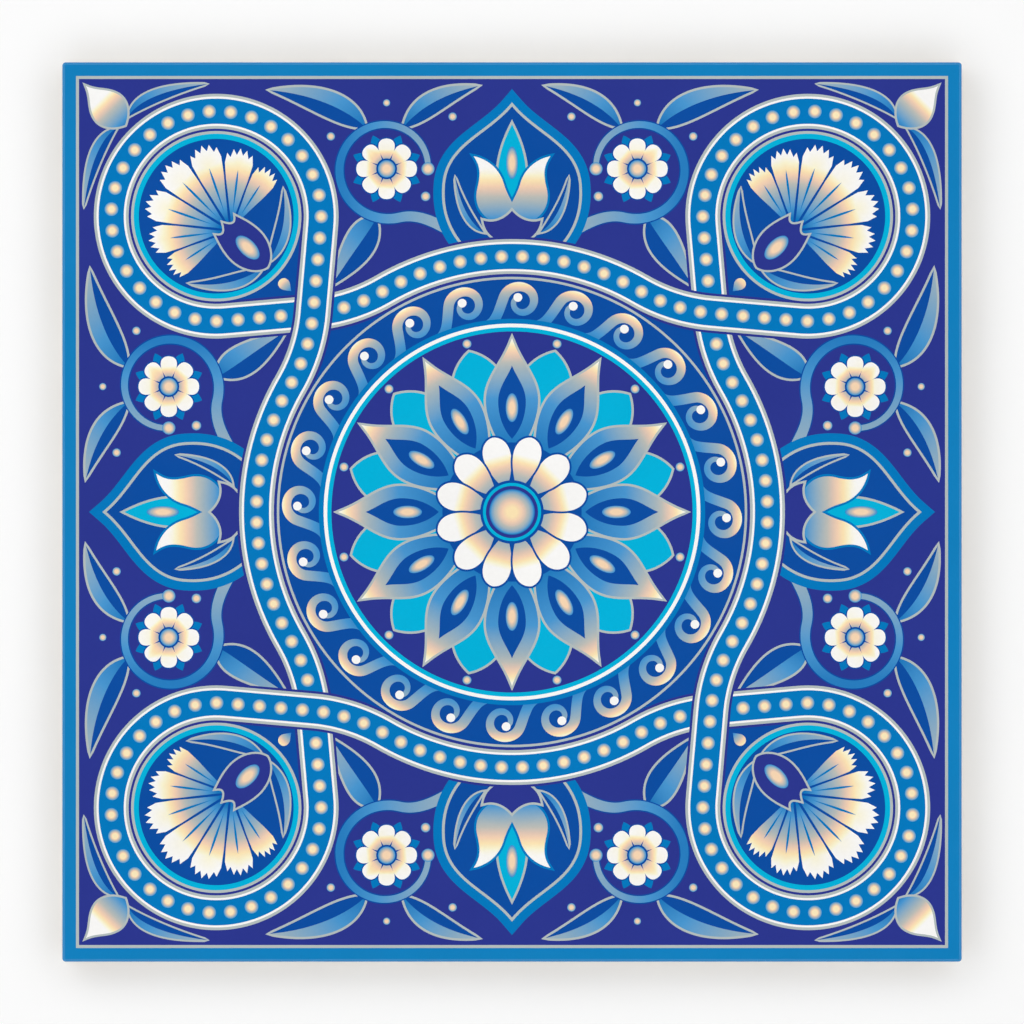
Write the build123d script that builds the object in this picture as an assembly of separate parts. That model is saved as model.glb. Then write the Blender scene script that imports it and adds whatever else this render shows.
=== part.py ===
"""A square pressed and fired wall-and-floor tile for marking the edge of a pool step.

One solid: a flat glazed face with an eased arris all round, ground sides, and a back whose shallow
square recesses leave a raised grid of ribs for the bedding mortar to key into.
The origin is the middle of the back, on the plane of the ribs. +Z points out of the glazed face.
All sizes are in millimetres.
"""

import os

from build123d import *

# Driving dimensions of the blank
TILE_LENGTH = 150.0
TILE_WIDTH = 150.0
TILE_THICKNESS = 8.0
CORNER_RADIUS = 0.6
FACE_ARRIS_RADIUS = 0.5
BACK_CHAMFER = 0.6

# Driving dimensions of the keyed back
KEY_RECESS_DEPTH = 0.7
KEY_RECESS_CORNER_RADIUS = 1.2
KEY_RIB_WIDTH = 3.0
KEY_RIM_WIDTH = 6.0
KEY_RECESSES_ALONG_LENGTH = 6
KEY_RECESSES_ALONG_WIDTH = 6


def recess_size(side, count):
    """The length of one recess, so that the recesses and ribs fill the side between its two rims."""
    between_rims = side - 2 * KEY_RIM_WIDTH
    return (between_rims - (count - 1) * KEY_RIB_WIDTH) / count


def tile_blank():
    """The pressed blank: square sides, an eased arris round the face and a chamfer round the back."""
    outline = RectangleRounded(TILE_LENGTH, TILE_WIDTH, CORNER_RADIUS)
    blank = extrude(outline, TILE_THICKNESS)
    face_edges = blank.faces().sort_by(Axis.Z)[-1].edges()
    blank = fillet(face_edges, FACE_ARRIS_RADIUS)
    back_edges = blank.faces().sort_by(Axis.Z)[0].edges()
    return chamfer(back_edges, BACK_CHAMFER)


def key_recesses():
    """The grid of shallow recesses that the press leaves in the back."""
    length = recess_size(TILE_LENGTH, KEY_RECESSES_ALONG_LENGTH)
    width = recess_size(TILE_WIDTH, KEY_RECESSES_ALONG_WIDTH)
    recess = extrude(RectangleRounded(length, width, KEY_RECESS_CORNER_RADIUS), KEY_RECESS_DEPTH)
    places = GridLocations(
        length + KEY_RIB_WIDTH,
        width + KEY_RIB_WIDTH,
        KEY_RECESSES_ALONG_LENGTH,
        KEY_RECESSES_ALONG_WIDTH,
    )
    return [place * recess for place in places]


def step_marker_tile():
    return tile_blank() - key_recesses()


tile = step_marker_tile()
print(f"tile: {len(tile.solids())} solid, volume {tile.volume:.1f} mm3")

os.makedirs("parts", exist_ok=True)
export_step(tile, "parts/step_marker_tile.step")
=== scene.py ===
# %% [markdown]
# # A decorated step marker tile
# A step marker is a small decorated tile that is set along the edge of a pool step, so that a bather sees
# where the step ends. The real one is pressed from porcelain clay, printed with coloured glazes and fired.
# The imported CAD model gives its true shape, so the lesson starts by loading that and noting its box.

# %% Load the frame
import math

import bmesh
import bpy
import numpy as np
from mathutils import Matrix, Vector
from mathutils.geometry import delaunay_2d_cdt


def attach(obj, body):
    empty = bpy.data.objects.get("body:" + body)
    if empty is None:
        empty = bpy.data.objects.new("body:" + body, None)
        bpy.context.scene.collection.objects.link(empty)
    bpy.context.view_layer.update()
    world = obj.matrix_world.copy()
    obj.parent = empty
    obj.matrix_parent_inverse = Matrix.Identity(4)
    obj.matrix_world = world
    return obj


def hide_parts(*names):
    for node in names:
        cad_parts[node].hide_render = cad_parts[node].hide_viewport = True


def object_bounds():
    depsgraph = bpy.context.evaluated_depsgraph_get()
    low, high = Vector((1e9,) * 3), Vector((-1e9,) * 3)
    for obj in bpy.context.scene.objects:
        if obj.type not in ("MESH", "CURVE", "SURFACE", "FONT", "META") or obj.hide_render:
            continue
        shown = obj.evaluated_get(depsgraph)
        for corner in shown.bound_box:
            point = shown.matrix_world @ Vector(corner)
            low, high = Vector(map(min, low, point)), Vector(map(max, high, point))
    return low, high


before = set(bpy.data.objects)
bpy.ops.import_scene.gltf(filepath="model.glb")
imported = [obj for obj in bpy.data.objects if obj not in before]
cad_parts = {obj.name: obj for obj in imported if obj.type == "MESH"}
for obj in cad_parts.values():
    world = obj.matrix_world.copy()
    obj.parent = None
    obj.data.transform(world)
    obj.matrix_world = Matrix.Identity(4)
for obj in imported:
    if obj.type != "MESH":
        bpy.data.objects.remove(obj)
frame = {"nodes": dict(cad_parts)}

MM = 0.001

cad_low, cad_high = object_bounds()
TILE = (cad_high[0] - cad_low[0]) / MM
THICKNESS = (cad_high[2] - cad_low[2]) / MM
HALF = TILE / 2
print(f"{', '.join(frame['nodes'])}: {TILE:.1f} mm square and {THICKNESS:.1f} mm thick")

# %% [markdown]
# ## Camera
# The picture is taken straight down on the face, with the tile filling 900 of 1024 pixels and no
# perspective to be seen. An orthographic camera would do that, but it would cut the tile off in views from
# the side. A long lens far away gives the same flat picture and still works from everywhere.

# %% Set up the camera
PICTURE_PIXELS = 1024
TILE_PIXELS = 900
LENS = 200.0
SENSOR = 36.0

scene = bpy.context.scene
frame_width = TILE * MM * PICTURE_PIXELS / TILE_PIXELS
distance = frame_width * LENS / SENSOR
camera_data = bpy.data.cameras.new("camera")
camera_data.lens = LENS
camera_data.sensor_width = SENSOR
camera = bpy.data.objects.new("camera", camera_data)
camera.location = (0.0, 0.0, cad_high[2] + distance)
scene.collection.objects.link(camera)
bpy.context.scene.camera = camera
print(f"camera {distance:.3f} m above the face, frame {frame_width / MM:.1f} mm wide")

# %% [markdown]
# ## Light
# A glossy glaze mirrors what lies in the direction that it is seen from. Straight above the tile the sky is
# dark, so that no grey veil lies on the dark blues. Most of the light comes from a broad bright ring half
# way up, as from a ring of soft boxes. A few lamps could stand there instead, but each would show in the
# glaze as a spot, so the ring is painted on the sky. Two helpers come first, for every shader to follow.

# %% Node helpers
def node(tree, kind, **settings):
    """Add a shader node and set its properties."""
    made = tree.nodes.new(kind)
    for name, value in settings.items():
        setattr(made, name, value)
    return made

def set_stops(ramp, stops):
    """Give a colour ramp its stops, each a position and a colour."""
    elements = ramp.color_ramp.elements
    while len(elements) < len(stops):
        elements.new(1.0)
    for element, (position, colour) in zip(elements, stops):
        element.position = position
        element.color = colour

print("helpers for nodes and colour ramps")

# %% [markdown]
# In a world shader the generated coordinates are the direction of a ray. Its height goes from 0 at the
# horizon to 1 overhead, and a ramp turns that height into a level of light. The horizon is pale too, so
# that the tile stands before a pale background in views from the side.

# %% The sky
SKY_STRENGTH = 1.62
SKY_BY_HEIGHT = (
    (0.0, 0.56),
    (0.12, 0.56),
    (0.26, 0.18),
    (0.5, 0.22),
    (0.64, 1.0),
    (0.86, 1.0),
    (0.95, 0.03),
)

scene.view_settings.view_transform = "Standard"
sky = bpy.data.worlds.new("studio_sky")
sky.use_nodes = True
scene.world = sky
sky_tree = sky.node_tree
sky_tree.nodes.clear()
direction = node(sky_tree, "ShaderNodeTexCoord")
height_of = node(sky_tree, "ShaderNodeSeparateXYZ")
level_at = node(sky_tree, "ShaderNodeValToRGB")
set_stops(level_at, [(height, (level, level, level, 1)) for height, level in SKY_BY_HEIGHT])
light = node(sky_tree, "ShaderNodeBackground")
light.inputs["Strength"].default_value = SKY_STRENGTH
sky_out = node(sky_tree, "ShaderNodeOutputWorld")
sky_tree.links.new(direction.outputs["Generated"], height_of.inputs[0])
sky_tree.links.new(height_of.outputs["Z"], level_at.inputs["Fac"])
sky_tree.links.new(level_at.outputs["Color"], light.inputs["Color"])
sky_tree.links.new(light.outputs[0], sky_out.inputs["Surface"])
print(f"sky with {len(SKY_BY_HEIGHT)} levels of light")

# %% [markdown]
# An even sky leaves the rounded edge of the tile flat. One weak lamp at the side gives that edge a lighter
# and a darker side. It is three quarters as wide as it is far away, so its shadow stays soft.

# %% The lamp
LAMP_WATTS = 1.3
LAMP_SIZE = 0.9
LAMP_PLACE = Vector((-0.75, 0.6, 0.75))

lamp_data = bpy.data.lights.new("soft_lamp", "AREA")
lamp_data.shape = "SQUARE"
lamp_data.size = LAMP_SIZE
lamp_data.energy = LAMP_WATTS
lamp = bpy.data.objects.new("soft_lamp", lamp_data)
lamp.location = LAMP_PLACE
lamp.rotation_euler = (-LAMP_PLACE).to_track_quat("-Z", "Y").to_euler()
scene.collection.objects.link(lamp)
print(f"lamp {LAMP_PLACE.length:.2f} m from the tile")

# %% [markdown]
# ## Patches of glaze
# A printed tile is built up in layers, each colour laid over the ones before it. The same is done here,
# flat and in millimetres from the middle of the face. A patch is an outline and a glaze, a motif is a list
# of a few patches, and the whole print is one long list of patches from the lowest layer up. A shaded patch
# also has a tone for each place, from 0, white, through cream, peach, silver and sky to 1, blue. A node
# texture could hold a simple pattern, but not hundreds of overlapping shapes.

# %% Patches
patches = []

def anticlockwise(outline):
    x, y = np.asarray(outline, float).T
    area = np.sum(x * np.roll(y, -1) - y * np.roll(x, -1))
    return np.column_stack([x, y])[:: 1 if area > 0 else -1]

def patch(outline, glaze, tone=None, inner=()):
    """An outline filled with a glaze. A shaded patch has a tone, and maybe inner lines to fade between."""
    return {"outline": anticlockwise(outline), "glaze": glaze, "tone": tone, "inner": inner}

print("ready for patches")

# %% [markdown]
# ## Ground and border
# The lowest layer covers the whole flat face in the blue of the border. On it lie a thin silver line and
# the navy ground. Each could be a frame with a hole in it, but whole squares laid on one another are
# simpler. The flat face ends where the rounded edge of the tile begins, so its size comes from there.

# %% Ground and border
SIDES = 4
ARRIS = 0.5
CORNER = 0.6
CORNER_STEPS = 6
BORDER = 2.33
BORDER_LINE = 0.5

def polar(centre, reach, angles):
    """Points at some distances and angles, in degrees, from a centre."""
    turns = np.radians(angles)
    return np.column_stack([centre[0] + reach * np.cos(turns), centre[1] + reach * np.sin(turns)])

def square(half):
    """The corners of a square, given by half its side."""
    return np.array([(half, half), (-half, half), (-half, -half), (half, -half)], float)

def rounded_square(half, radius):
    quarter = np.linspace(0, 90, CORNER_STEPS + 1)
    centres = enumerate(square(half - radius))
    return np.vstack([polar(centre, radius, quarter + 90 * turn) for turn, centre in centres])

FIELD = HALF - BORDER - BORDER_LINE
patches.append(patch(rounded_square(HALF - ARRIS, CORNER - ARRIS), "border_blue"))
patches.append(patch(square(HALF - BORDER), "silver"))
patches.append(patch(square(FIELD), "navy"))
whole_grounds = len(patches)
print(f"navy ground {2 * FIELD:.1f} mm square")

# %% [markdown]
# ## The course of the interlaced ribbon
# One endless ribbon goes round the middle of the tile and makes a loop in each corner, crossing itself at
# the neck of each loop. Interlaced ribbons like this are centuries old in stone floors. An eighth of its
# course is three arcs that meet smoothly: part of the middle ring, a gentle bend outwards to the crossing,
# and, after a straight bit, half of the loop. The size of the loop sets the place of the crossing, and the
# two other radii follow, because the ring and the bend together have to end there.

# %% Work out the ribbon's arcs
LOOP_MIDDLE = 49.3
LOOP_RADIUS = 17.5
NECK_ANGLE = 50.0
LEAVE_ANGLE = 60.0

def toward(angle):
    """A step of one millimetre at an angle in degrees."""
    return np.array([math.cos(math.radians(angle)), math.sin(math.radians(angle))])

crossing = LOOP_MIDDLE - LOOP_RADIUS / math.sin(math.radians(NECK_ANGLE)) * math.sqrt(0.5)
heading_in = LEAVE_ANGLE - 90
heading_out = 45 - NECK_ANGLE
leave = toward(LEAVE_ANGLE)
to_bend_centre = toward(heading_in + 90)
from_bend_centre = -toward(heading_out + 90)
ring_radius, bend_radius = np.linalg.solve(
    np.column_stack([leave, to_bend_centre + from_bend_centre]),
    [crossing, crossing],
)
bend_centre = ring_radius * leave + bend_radius * to_bend_centre
print(f"ring radius {ring_radius:.2f} mm, bend radius {bend_radius:.2f} mm, crossing at {crossing:.2f} mm")

# %% [markdown]
# A spline through a few points would look much the same, but its edges would have to be offset by trial.
# The parallel of an arc is an arc again, so the ribbon's edges are the same three arcs with other radii. An
# arc gets as many points as keep its chords within a few thousandths of a millimetre. The other half of
# each quarter is its mirror image across the tile's diagonal, where x and y change places.

# %% Draw the ribbon's course
CHORD_ERROR = 0.005
FEWEST_CHORDS = 2
RING, BEND, LOOP = range(3)

def arc(centre, radius, start, end):
    """Points along an arc, from one angle to another in degrees."""
    step = 2 * math.acos(1 - min(0.5, CHORD_ERROR / radius))
    count = max(FEWEST_CHORDS, math.ceil(abs(math.radians(end - start)) / step))
    return polar(centre, radius, np.linspace(start, end, count + 1))

def end_to_end(lines):
    """Lines joined end to end, with a point that two of them share kept once."""
    joined = [lines[0]]
    for line in lines[1:]:
        meets = np.allclose(line[0], joined[-1][-1])
        joined.append(line[1:] if meets else line)
    return np.vstack(joined)

def ribbon_line(offset, arcs=(RING, BEND, LOOP), lap=0.0):
    """The line at a distance to the left of the ribbon's course, over an eighth of its length.
    The lap, in degrees, makes it run on a little at both ends."""
    lines = (
        arc((0, 0), ring_radius + offset, 90 + lap, LEAVE_ANGLE),
        arc(bend_centre, bend_radius - offset, heading_in - 90, heading_out - 90),
        arc((LOOP_MIDDLE, LOOP_MIDDLE), LOOP_RADIUS - offset, heading_out - 90, 45 + lap),
    )
    return end_to_end([lines[number] for number in arcs])

def across_diagonal(points):
    return points[:, ::-1]

to_crossing = ribbon_line(0, (RING, BEND))
half_loop = np.vstack([to_crossing[-1:], ribbon_line(0, (LOOP,))])
print(f"{len(to_crossing)} points to the crossing, {len(half_loop)} round half a loop")

# %% [markdown]
# ## Placing and repeating motifs
# Most motifs stand on the tile's vertical axis and are repeated round its middle. An array modifier turns
# copies of a mesh, but these are outlines that have yet to be cut into the face, so they are turned as
# plain numbers. A matrix turns and mirrors, and a step moves. The tone of a shaded patch is a function of
# the place, so after a move it is asked where the points came from.

# %% Placing and repeating
def turning(angle, flip=False):
    """The matrix that turns points anticlockwise, after mirroring them left to right if asked."""
    c = math.cos(math.radians(angle))
    s = math.sin(math.radians(angle))
    across = -1 if flip else 1
    return np.array([[c * across, s * across], [-s, c]])

def moved_tone(tone, at, turned):
    return lambda xy: tone((xy - at) @ turned.T)

def placed(motif, at=(0, 0), turn=0, flip=False):
    """The motif mirrored left to right if asked, turned round its origin and moved."""
    turned = turning(turn, flip)
    made = []
    for piece in motif:
        tone = piece["tone"] and moved_tone(piece["tone"], at, turned)
        inner = [line @ turned + at for line in piece["inner"]]
        made.append(patch(piece["outline"] @ turned + at, piece["glaze"], tone, inner))
    return made

def repeated(motif, count, shift=0.0, flip=False, out=0.0):
    """The motif a number of times round the origin, after moving it out along its own axis."""
    made = []
    for number in range(count):
        turn = (number + shift) * 360 / count
        made += placed(motif, np.array([0.0, out]) @ turning(turn), turn, flip)
    return made

print("ready to place motifs")

# %% [markdown]
# ## The grounds inside the ribbon
# The ribbon's own course bounds the cobalt ground of the middle and of the four corner loops. The ribbon is
# laid over their edges later, so they may run under it.

# %% Grounds of the middle and the loops
quarter_course = np.vstack([to_crossing, across_diagonal(to_crossing)[-2:0:-1]])
middle_ground = np.vstack([quarter_course @ turning(-90 * number) for number in range(SIDES)])
loop_ground = np.vstack([half_loop, across_diagonal(half_loop)[-2:0:-1]])
patches.append(patch(middle_ground, "cobalt"))
patches += repeated([patch(loop_ground, "cobalt")], SIDES)
print(f"{len(patches)} patches so far")

# %% [markdown]
# ## Curves and brush strokes
# The flowers and waves need freer lines than arcs. A cubic curve goes from a start to an end and is drawn
# towards two handles on its way, so a few points give a whole petal. Blender's curve objects hold such
# curves too, but these have to be mirrored, bent and cut later, which is easier on plain points. A brush
# stroke is a path with a width on both sides of it.

# %% Curves, spirals and strokes
CURVE_STEP = 0.45
FEWEST_CURVE_STEPS = 6

def curve(start, *spans):
    """A run of cubic curves; each span gives its first handle, its second handle and its end."""
    runs = [np.array([start], float)]
    for first, second, end in spans:
        a, b, c, d = (np.array(p, float) for p in (runs[-1][-1], first, second, end))
        length = np.linalg.norm(b - a) + np.linalg.norm(c - b) + np.linalg.norm(d - c)
        steps = max(FEWEST_CURVE_STEPS, math.ceil(length / CURVE_STEP))
        t = np.linspace(0, 1, steps + 1)[1:, None]
        runs.append((1 - t) ** 3 * a + 3 * (1 - t) ** 2 * t * b + 3 * (1 - t) * t ** 2 * c + t ** 3 * d)
    return np.vstack(runs)

def spiral(centre, radii, angles, count):
    """Points along a spiral, from one radius and angle to another."""
    return polar(centre, np.linspace(*radii, count), np.linspace(*angles, count))

def circle(radius, centre=(0, 0)):
    return arc(centre, radius, 0, 360)[:-1]

def stroke(path, shares, half_widths):
    """The outline of a brush stroke, with the half widths that it has at some shares of its path."""
    along = np.gradient(path, axis=0)
    along /= np.linalg.norm(along, axis=1)[:, None]
    half = np.interp(np.linspace(0, 1, len(path)), shares, half_widths)
    side = np.column_stack([-along[:, 1], along[:, 0]]) * half[:, None]
    return np.vstack([path - side, (path + side)[::-1]])

print(f"a circle of 10 mm radius has {len(circle(10.0))} points")

# %% [markdown]
# ## Running waves
# Round the middle runs a band of breaking waves, one of the oldest water borders there is. Each wave is one
# stroke: it leaves the sea, rises, and curls over into a spiral that ends in a drop. It is drawn on a
# straight strip first, and then bent round the ring, which is easier than drawing it bent. Its tone fades
# outwards, from the blue of the sea to the white of the foam.

# %% One wave
SEA_RADIUS = 31.3
WAVE_BAND_RADIUS = 35.0
CURL_CENTRE = (1.5, 3.7)
CURL_RADII = (2.95, 0.95)
CURL_ANGLES = (165.0, -235.0)
CURL_POINTS = 60
WAVE_SHARES = (0.0, 0.3, 1.0)
WAVE_HALF_WIDTHS = (0.95, 0.8, 0.36)
WAVE_DROP = 0.72

def bent_round(strip):
    """Bend a straight strip, x along it and y up, round the middle of the tile."""
    return polar((0, 0), SEA_RADIUS + strip[:, 1], 90 - np.degrees(strip[:, 0] / WAVE_BAND_RADIUS))

def fade_out(radii, tones, centre=(0, 0), narrow=1.0):
    """A tone that changes with the distance from a point, in rings that may be narrower than high."""
    return lambda xy: np.interp(np.hypot(*((xy - centre) * (narrow, 1)).T), radii, tones)

curl = spiral(CURL_CENTRE, CURL_RADII, CURL_ANGLES, CURL_POINTS)
rise = curve((-5.6, -0.2), ((-3.0, -0.2), (-2.3, 2.2), curl[0]))
wave = stroke(end_to_end([rise, curl]), WAVE_SHARES, WAVE_HALF_WIDTHS)
foam = fade_out(SEA_RADIUS + np.array([0.0, 2.0, 5.0, 7.2]), (0.95, 0.8, 0.5, 0.0))
wave_motif = [
    patch(bent_round(wave), "shaded", foam),
    patch(bent_round(circle(WAVE_DROP, curl[-1])), "white"),
]
print(f"a wave has {len(wave)} points in its outline")

# %% [markdown]
# The waves stand on a ring of sea with white and cyan lines inside it. Rings could be drawn with an inner
# and an outer edge, but discs on one another give the same. They are laid after the waves, so they cover
# the waves' feet.

# %% The band of waves
WAVES = 24
WAVE_FIELD = ((7.9, "silver"), (7.5, "cobalt"))
SEA_RINGS = ((0.9, "mid_blue"), (0.1, "white"), (-0.5, "cyan"), (-1.2, "navy"))

def discs(layers, radius=0.0):
    """Round patches on one another; each layer says how much larger than the radius it is, and its glaze."""
    return [patch(circle(radius + more), glaze) for more, glaze in layers]

patches += discs(WAVE_FIELD, SEA_RADIUS)
patches += repeated(wave_motif, WAVES)
patches += discs(SEA_RINGS, SEA_RADIUS)
print(f"{WAVES} waves round a ring of {SEA_RADIUS} mm")

# %% [markdown]
# ## The water lily
# A water lily opens in the middle: cyan petals behind, pointed ones in front of them, and a small white
# flower with a glowing heart. A petal is the same left and right, so only its right half is drawn and then
# mirrored. The thin line round it could be a stroke along its edge, but a slightly larger copy of the petal
# under it has fewer points and leaves no gap.

# %% Halves and lines round a patch
LINE = 0.38
ON_AXIS = 1e-9
SHARPEST_MITRE = 0.3

def both_sides(half):
    """Close an outline whose right half runs from the bottom of its axis up to the top."""
    left = half[::-1] * (-1, 1)
    return np.vstack([half, left[np.abs(left[:, 0]) > ON_AXIS]])

def grown(outline, by):
    """The outline moved outwards by a distance, with the longest corners cut short."""
    outline = anticlockwise(outline)
    along = np.roll(outline, -1, 0) - outline
    along /= np.linalg.norm(along, axis=1)[:, None]
    out_after = np.column_stack([along[:, 1], -along[:, 0]])
    out_before = np.roll(out_after, 1, 0)
    meeting = 1 + np.sum(out_before * out_after, axis=1)
    return outline + by * (out_before + out_after) / np.maximum(meeting, SHARPEST_MITRE)[:, None]

def edged(outline, line, glaze, tone=None, edge="silver"):
    """A patch with a thin line of another glaze round it."""
    return [patch(grown(outline, line), edge), patch(outline, glaze, tone)]

back_petal = both_sides(curve(
    (0.6, 11.0),
    ((3.6, 13.0), (4.6, 18.0), (4.3, 21.5)),
    ((4.0, 24.8), (1.6, 26.8), (0.0, 27.6)),
))
back_motif = edged(back_petal, LINE, "cyan")
print(f"a back petal has {len(back_petal)} points")

# %% [markdown]
# Small drops of glaze sit on the petals, and they fade several times over a millimetre or two. A tone is
# known only at the corners of the triangles that the face is cut into, and is blended between them. So
# inner rings give a drop the corners that it needs.

# %% Beads
BEAD_SHARES = (0.0, 0.4, 0.7, 1.0)
BEAD_TONES = (0.02, 0.2, 0.42, 0.9)

def closed(line):
    """The line with its first point once more at its end."""
    return np.vstack([line, line[:1]])

def bead(radius, centre=(0, 0), tones=BEAD_TONES, narrow=1.0):
    """A round or oval drop of glaze, cream in the middle and blue at the edge."""
    rim = circle(1.0) / (narrow, 1)
    rings = [closed(rim * radius * share + centre) for share in BEAD_SHARES[1:-1]]
    tone = fade_out([radius * share for share in BEAD_SHARES], tones, centre, narrow)
    return patch(rim * radius + centre, "shaded", tone, rings)

petal_bead = bead(2.4, (0, 17.4), narrow=2.3)
gap_bead = bead(0.75, (0, 29.0))
print(f"a bead has {len(petal_bead['inner'])} inner rings")

# %% [markdown]
# The front petals go from blue at their feet to cream at their tips. Each has a dark heart with a bead on
# it, and a small bead lies between each two tips.

# %% The lily's large petals
PETALS = 12

def fade_up(heights, tones):
    """A tone that changes along a motif's own axis."""
    return lambda xy: np.interp(xy[:, 1], heights, tones)

front_petal = both_sides(curve(
    (0.7, 9.0),
    ((1.8, 11.0), (4.35, 14.6), (4.35, 18.6)),
    ((4.35, 22.4), (1.5, 24.6), (0.0, 29.0)),
))
petal_heart = both_sides(curve(
    (0.0, 12.2),
    ((1.3, 13.6), (2.3, 15.8), (2.3, 18.4)),
    ((2.3, 20.8), (0.9, 22.2), (0.0, 24.4)),
))
petal_tone = fade_up((10.0, 19.0, 24.0, 28.6), (1.0, 0.82, 0.5, 0.02))
front_motif = edged(front_petal, LINE, "shaded", petal_tone) + [patch(petal_heart, "cobalt"), petal_bead]
patches += repeated(back_motif, PETALS, shift=0.5)
patches += repeated(front_motif, PETALS)
patches += repeated([gap_bead], PETALS, shift=0.5)
print(f"{2 * PETALS} large petals")

# %% [markdown]
# The small flower lies on the feet of the large petals. Its heart fades like a lit bowl, in more steps than
# a bead, because it is larger and the fade is easier to see.

# %% The lily's small flower and heart
THIN_LINE = 0.34
FLOWER_GROUND = ((11.6, "cobalt"),)
HEART_RINGS = ((5.3, "cobalt"), (4.85, "cyan"), (4.35, "navy"))
HEART_RADII = (0.0, 0.8, 1.6, 2.3, 2.9, 3.4, 3.8)
HEART_TONES = (0.1, 0.14, 0.22, 0.34, 0.5, 0.72, 1.0)

small_petal = both_sides(curve(
    (0.5, 4.4),
    ((1.5, 6.2), (2.35, 8.2), (2.3, 10.0)),
    ((2.2, 11.9), (1.0, 12.7), (0.0, 12.8)),
))
small_motif = edged(small_petal, THIN_LINE, "shaded", fade_up((4.4, 9.5), (0.62, 0.0)), edge="cobalt")
heart_steps = [closed(circle(radius)) for radius in HEART_RADII[1:-1]]
heart = patch(circle(HEART_RADII[-1]), "shaded", fade_out(HEART_RADII, HEART_TONES), heart_steps)
patches += discs(FLOWER_GROUND)
patches += repeated(small_motif, PETALS, shift=0.5)
patches += discs(HEART_RINGS) + [heart]
print(f"{PETALS} small petals round a heart of {2 * HEART_RADII[-1]:.1f} mm")

# %% [markdown]
# ## Leaves
# The leaves of all the flowers are alike: two curves from a foot to a tip, and a vein half way between
# them. One side of the vein is plain cobalt, and the other fades from blue to silver towards the tip.
# Leaves grow on both sides of a stem, so a mirrored copy is needed too. The first pair stands under a
# carnation.

# %% Leaves
FINE_LINE = 0.3
LEAF_TONES = (1.0, 0.5)

def leaf(foot, bend_out, bend_in, tip, line=LINE):
    """A pointed leaf between two curves, light on one side of its vein and dark on the other."""
    bend_vein = (np.array(bend_out) + np.array(bend_in)) / 2
    outer = curve(foot, (*bend_out, tip))
    inner = curve(foot, (*bend_in, tip))
    vein = curve(foot, (*bend_vein, tip))
    whole = np.vstack([outer, inner[-2:0:-1]])
    light_side = np.vstack([outer, vein[-2:0:-1]])
    tone = fade_out((0, math.dist(foot, tip)), LEAF_TONES, foot)
    return edged(whole, line, "cobalt") + [patch(light_side, "shaded", tone)]

def pair(motif):
    """The motif and its mirror image, on both sides of the axis."""
    return motif + placed(motif, flip=True)

low_leaves = pair(leaf(
    (0.6, -11.6),
    ((4.2, -12.6), (8.4, -10.6)),
    ((3.8, -9.0), (7.0, -8.0)),
    (11.2, -4.6),
    FINE_LINE,
))
print(f"a pair of leaves is {len(low_leaves)} patches")

# %% [markdown]
# ## Carnations
# A carnation stands in each corner loop, as on old painted tiles: seven petals with toothed rims spread
# from a round cup. Each petal could be drawn point by point, but they differ only in how far they reach. So
# a petal is drawn by angle and distance from the foot of the fan, and one function gives all seven, each
# cut to fit the round field.

# %% The carnation's petals
FAN_FOOT = (0.0, -3.4)
FAN_RADIUS = 12.0
FAN_STEP = 26.0
FAN_START = 1.4
PETAL_GAP = 1.8
PETAL_POINTS = 12
SWELL_SHARES = (0.0, 0.25, 0.7, 1.0)
SWELL = (0.55, 0.86, 1.0, 0.97)
TEETH = 5
TOOTH = 1.1
RIM_DROP = 0.09

def from_foot(angle, reach):
    """Points at an angle from straight up and a distance from the foot of the fan."""
    return polar(FAN_FOOT, reach, 90 - np.asarray(angle))

def fan_reach(angle):
    """How far the rim of the round field is from the foot of the fan, at an angle from straight up."""
    up = math.cos(math.radians(angle))
    aside = math.sin(math.radians(angle))
    return -FAN_FOOT[1] * up + math.sqrt(FAN_RADIUS ** 2 - (FAN_FOOT[1] * aside) ** 2)

def fan_petal(middle):
    """The outline of a petal with a toothed rim, round an angle from straight up."""
    reach = fan_reach(middle)
    along = np.linspace(0, 1, PETAL_POINTS)
    half = (FAN_STEP - PETAL_GAP) / 2 * np.interp(along, SWELL_SHARES, SWELL)
    side = FAN_START + along * (reach * (1 - RIM_DROP) - TOOTH - FAN_START)
    right = from_foot(middle + half, side)
    left = from_foot(middle - half, side)
    across = np.linspace(1, -1, 2 * TEETH + 1)
    notch = TOOTH * (np.arange(2 * TEETH + 1) % 2 == 0)
    rim = from_foot(middle + half[-1] * across, reach * (1 - RIM_DROP * across ** 2) - notch)
    return np.vstack([right, rim[1:-1], left[::-1]])

print(f"a petal has {len(fan_petal(0))} points")

# %% [markdown]
# A fine vein runs up each petal, pointed at both ends. The cup is a dark calyx with an oval bead on it, and
# a small drop fills the neck of the loop, where the ribbon crosses itself. The whole flower is drawn
# upright round its own middle and then placed in the four loops.

# %% The whole carnation
CARNATION_FIELD = ((14.2, "silver"), (13.75, "cyan"), (12.9, "cobalt"))
FAN_PETALS = 7
VEIN_POINTS = 9
VEIN_START = 3.2
VEIN_SHARE = 0.74
VEIN_HALF_ANGLE = 1.5
VEIN_FULLNESS = 0.8

def fan_vein(middle):
    along = np.linspace(0, 1, VEIN_POINTS)
    reach = VEIN_START + along * (fan_reach(middle) * VEIN_SHARE - VEIN_START)
    half = VEIN_HALF_ANGLE * np.abs(np.sin(math.pi * along)) ** VEIN_FULLNESS
    return np.vstack([from_foot(middle + half, reach), from_foot(middle - half, reach)[-2:0:-1]])

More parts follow.
